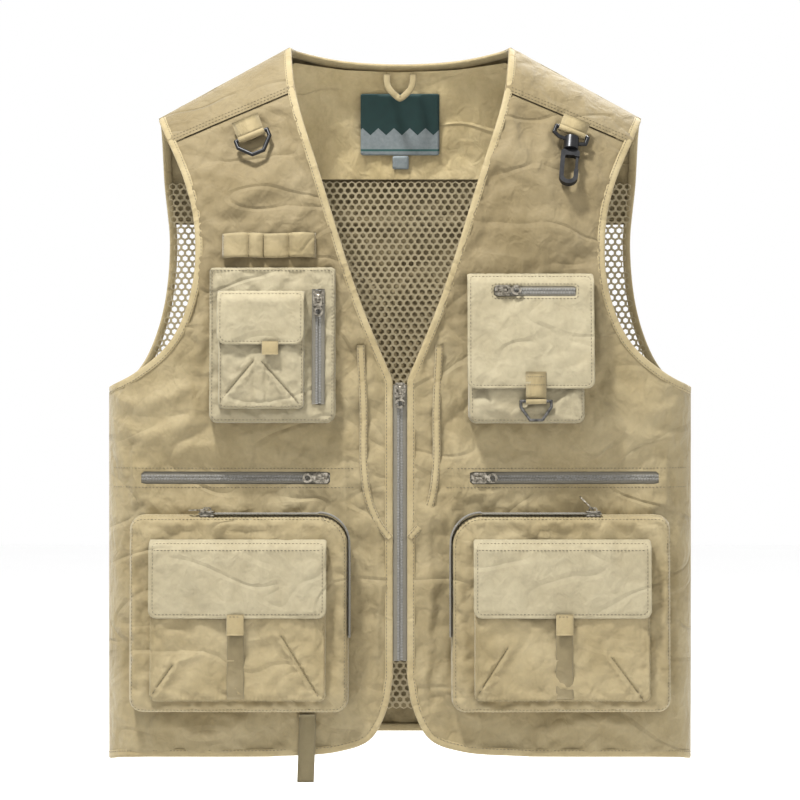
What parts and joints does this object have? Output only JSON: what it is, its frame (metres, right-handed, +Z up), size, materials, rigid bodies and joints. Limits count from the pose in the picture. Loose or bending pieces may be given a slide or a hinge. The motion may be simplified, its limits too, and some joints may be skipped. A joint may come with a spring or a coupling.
{
  "type": "fishing vest",
  "caption": "Sleeveless cloth fishing vest with a V neck, open-ended front zip, mesh-lined back, zipped and flapped box pockets, tool loops, ring and snap hook.",
  "frame": {"origin": "middle of the gap of the hang loop inside the back neck", "axes": "+Z up, -Y towards the front of the vest, +X towards the wearer's left"},
  "size_m": [0.6012, 0.24, 0.7504],
  "materials": {
    "khaki_cloth": "matte woven polyester-cotton",
    "binding": "matte folded cloth tape",
    "mesh": "matte knitted mesh",
    "webbing": "matte woven tape",
    "label": "woven label",
    "zip_tape": "matte tape with fine coil teeth",
    "zip_metal": "antique nickel",
    "ring_metal": "gunmetal",
    "black_plastic": "moulded acetal"
  },
  "bodies": {
    "vest_back": {"back_panel": "khaki_cloth", "back_mesh_lining": "mesh", "shoulder_yoke": "khaki_cloth", "neck_facing": "khaki_cloth", "neck_label": "label", "hang_loop": "webbing", "right_upper_front": "khaki_cloth", "left_upper_front": "khaki_cloth", "armhole_bindings": "binding", "neck_binding": "binding", "back_hem_binding": "binding", "shoulder_tabs": "khaki_cloth"},
    "right_front": {"right_front_panel": "khaki_cloth", "right_edge_binding": "binding", "right_trim_tape": "binding", "main_zip_right": "zip_tape", "tool_loops": "khaki_cloth", "right_chest_pocket": "khaki_cloth", "right_chest_patch_pocket": "khaki_cloth", "right_chest_zip": "zip_tape", "right_waist_zip": "zip_tape", "right_cargo_pocket": "khaki_cloth", "right_cargo_patch_pocket": "khaki_cloth", "right_cargo_zip": "zip_tape"},
    "left_front": {"left_front_panel": "khaki_cloth", "left_edge_binding": "binding", "left_trim_tape": "binding", "main_zip_left": "zip_tape", "left_chest_pocket": "khaki_cloth", "left_waist_zip": "zip_tape", "left_cargo_pocket": "khaki_cloth", "left_cargo_patch_pocket": "khaki_cloth", "left_cargo_zip": "zip_tape"},
    "right_chest_flap": {"right_chest_flap": "khaki_cloth"},
    "left_chest_flap": {"left_chest_flap": "khaki_cloth", "left_flap_zip": "zip_tape", "chest_ring_tab": "khaki_cloth"},
    "right_cargo_flap": {"right_cargo_flap": "khaki_cloth"},
    "left_cargo_flap": {"left_cargo_flap": "khaki_cloth"},
    "main_slider": {"main_slider": "zip_metal"},
    "main_pull": {"main_pull": "zip_metal"},
    "right_chest_slider": {"right_chest_slider": "zip_metal"},
    "right_chest_pull": {"right_chest_pull": "zip_metal"},
    "left_chest_slider": {"left_chest_slider": "zip_metal"},
    "left_chest_pull": {"left_chest_pull": "zip_metal"},
    "right_waist_slider": {"right_waist_slider": "zip_metal"},
    "right_waist_pull": {"right_waist_pull": "zip_metal"},
    "left_waist_slider": {"left_waist_slider": "zip_metal"},
    "left_waist_pull": {"left_waist_pull": "zip_metal"},
    "right_cargo_slider": {"right_cargo_slider": "zip_metal"},
    "right_cargo_pull": {"right_cargo_pull": "zip_metal"},
    "left_cargo_slider": {"left_cargo_slider": "zip_metal"},
    "left_cargo_pull": {"left_cargo_pull": "zip_metal"},
    "shoulder_d_ring": {"shoulder_d_ring": "black_plastic"},
    "chest_d_ring": {"chest_d_ring": "ring_metal"},
    "webbing_strap": {"webbing_strap": "webbing"},
    "hook_eye": {"hook_eye": "black_plastic"},
    "hook_body": {"hook_body": "black_plastic"},
    "hook_gate": {"hook_gate": "black_plastic"}
  },
  "joints": [
    {"name": "right_front_open", "type": "hinge", "parent": "vest_back", "child": "right_front", "pos_m": [-0.299, -0.045, -0.42], "axis": [0, 0, -1], "range_deg": [0, 20]},
    {"name": "left_front_open", "type": "hinge", "parent": "vest_back", "child": "left_front", "pos_m": [0.299, -0.045, -0.42], "axis": [0, 0, 1], "range_deg": [0, 20]},
    {"name": "right_chest_flap_hinge", "type": "hinge", "parent": "right_front", "child": "right_chest_flap", "pos_m": [-0.1385, -0.16206, -0.224], "axis": [-1, 0, 0], "range_deg": [0, 130]},
    {"name": "left_chest_flap_hinge", "type": "hinge", "parent": "left_front", "child": "left_chest_flap", "pos_m": [0.128, -0.15144, -0.20748], "axis": [-1, 0, 0], "range_deg": [0, 112]},
    {"name": "right_cargo_flap_hinge", "type": "hinge", "parent": "right_front", "child": "right_cargo_flap", "pos_m": [-0.1605, -0.17359, -0.47099], "axis": [-1, 0, 0], "range_deg": [0, 130]},
    {"name": "left_cargo_flap_hinge", "type": "hinge", "parent": "left_front", "child": "left_cargo_flap", "pos_m": [0.1605, -0.17359, -0.47099], "axis": [-1, 0, 0], "range_deg": [0, 130]},
    {"name": "main_slider_slide", "type": "slide", "parent": "left_front", "child": "main_slider", "axis": [0, 0, -1], "range_m": [0, 0.262]},
    {"name": "main_pull_hinge", "type": "hinge", "parent": "main_slider", "child": "main_pull", "pos_m": [0, -0.1529, -0.323], "axis": [-1, 0, 0], "range_deg": [0, 165]},
    {"name": "right_chest_slider_slide", "type": "slide", "parent": "right_front", "child": "right_chest_slider", "axis": [0, -0.0698, -0.9976], "range_m": [0, 0.096]},
    {"name": "right_chest_pull_hinge", "type": "hinge", "parent": "right_chest_slider", "child": "right_chest_pull", "pos_m": [-0.08125, -0.16532, -0.2318], "axis": [-1, 0, 0], "range_deg": [0, 165]},
    {"name": "left_chest_slider_slide", "type": "slide", "parent": "left_chest_flap", "child": "left_chest_slider", "axis": [1, 0, 0], "range_m": [0, 0.0645]},
    {"name": "left_chest_pull_hinge", "type": "hinge", "parent": "left_chest_slider", "child": "left_chest_pull", "pos_m": [0.102, -0.16947, -0.2239], "axis": [0, -0.1219, -0.9925], "range_deg": [0, 165]},
    {"name": "right_waist_slider_slide", "type": "slide", "parent": "right_front", "child": "right_waist_slider", "axis": [-0.9975, 0.07, 0], "range_m": [0, 0.1725]},
    {"name": "right_waist_pull_hinge", "type": "hinge", "parent": "right_waist_slider", "child": "right_waist_pull", "pos_m": [-0.07898, -0.15326, -0.411], "axis": [0, 0, 1], "range_deg": [0, 165]},
    {"name": "left_waist_slider_slide", "type": "slide", "parent": "left_front", "child": "left_waist_slider", "axis": [0.9975, 0.07, 0], "range_m": [0, 0.1725]},
    {"name": "left_waist_pull_hinge", "type": "hinge", "parent": "left_waist_slider", "child": "left_waist_pull", "pos_m": [0.07898, -0.15326, -0.411], "axis": [0, 0, -1], "range_deg": [0, 165]},
    {"name": "right_cargo_slider_slide", "type": "slide", "parent": "right_front", "child": "right_cargo_slider", "axis": [1, 0, 0], "range_m": [0, 0.1025]},
    {"name": "right_cargo_pull_hinge", "type": "hinge", "parent": "right_cargo_slider", "child": "right_cargo_pull", "pos_m": [-0.192, -0.16202, -0.44217], "axis": [0, 0.999, -0.0436], "range_deg": [0, 160]},
    {"name": "left_cargo_slider_slide", "type": "slide", "parent": "left_front", "child": "left_cargo_slider", "axis": [-1, 0, 0], "range_m": [0, 0.1025]},
    {"name": "left_cargo_pull_hinge", "type": "hinge", "parent": "left_cargo_slider", "child": "left_cargo_pull", "pos_m": [0.192, -0.16202, -0.44217], "axis": [0, 0.999, -0.0436], "range_deg": [-42, 120]},
    {"name": "shoulder_d_ring_hinge", "type": "hinge", "parent": "vest_back", "child": "shoulder_d_ring", "pos_m": [-0.15, -0.12654, -0.066], "axis": [-0.9272, 0, -0.3746], "range_deg": [0, 140]},
    {"name": "chest_d_ring_hinge", "type": "hinge", "parent": "left_chest_flap", "child": "chest_d_ring", "pos_m": [0.1345, -0.17907, -0.33405], "axis": [-1, 0, 0], "range_deg": [0, 120]},
    {"name": "webbing_strap_hinge", "type": "hinge", "parent": "right_front", "child": "webbing_strap", "pos_m": [-0.0935, -0.153, -0.647], "axis": [-1, 0, 0], "range_deg": [0, 80]},
    {"name": "hook_eye_hinge", "type": "hinge", "parent": "vest_back", "child": "hook_eye", "pos_m": [0.174, -0.12325, -0.062], "axis": [-0.9272, 0, 0.3746], "range_deg": [0, 110]},
    {"name": "hook_swivel", "type": "hinge", "parent": "hook_eye", "child": "hook_body", "pos_m": [0.174, -0.12325, -0.062], "axis": [0.0996, 0.4315, 0.8966], "continuous": true},
    {"name": "hook_gate_hinge", "type": "hinge", "parent": "hook_body", "child": "hook_gate", "pos_m": [0.17812, -0.13676, -0.09008], "axis": [0, 0.9011, -0.4337], "range_deg": [0, 24], "stiffness_Nm_per_rad": 0.02, "springref_deg": -2.86}
  ],
  "couplings": [
    {"joint": "left_front_open", "follows": "right_front_open", "ratio": 1},
    {"joint": "main_slider_slide", "follows": "right_front_open", "m_per_rad": 0.7505}
  ]
}
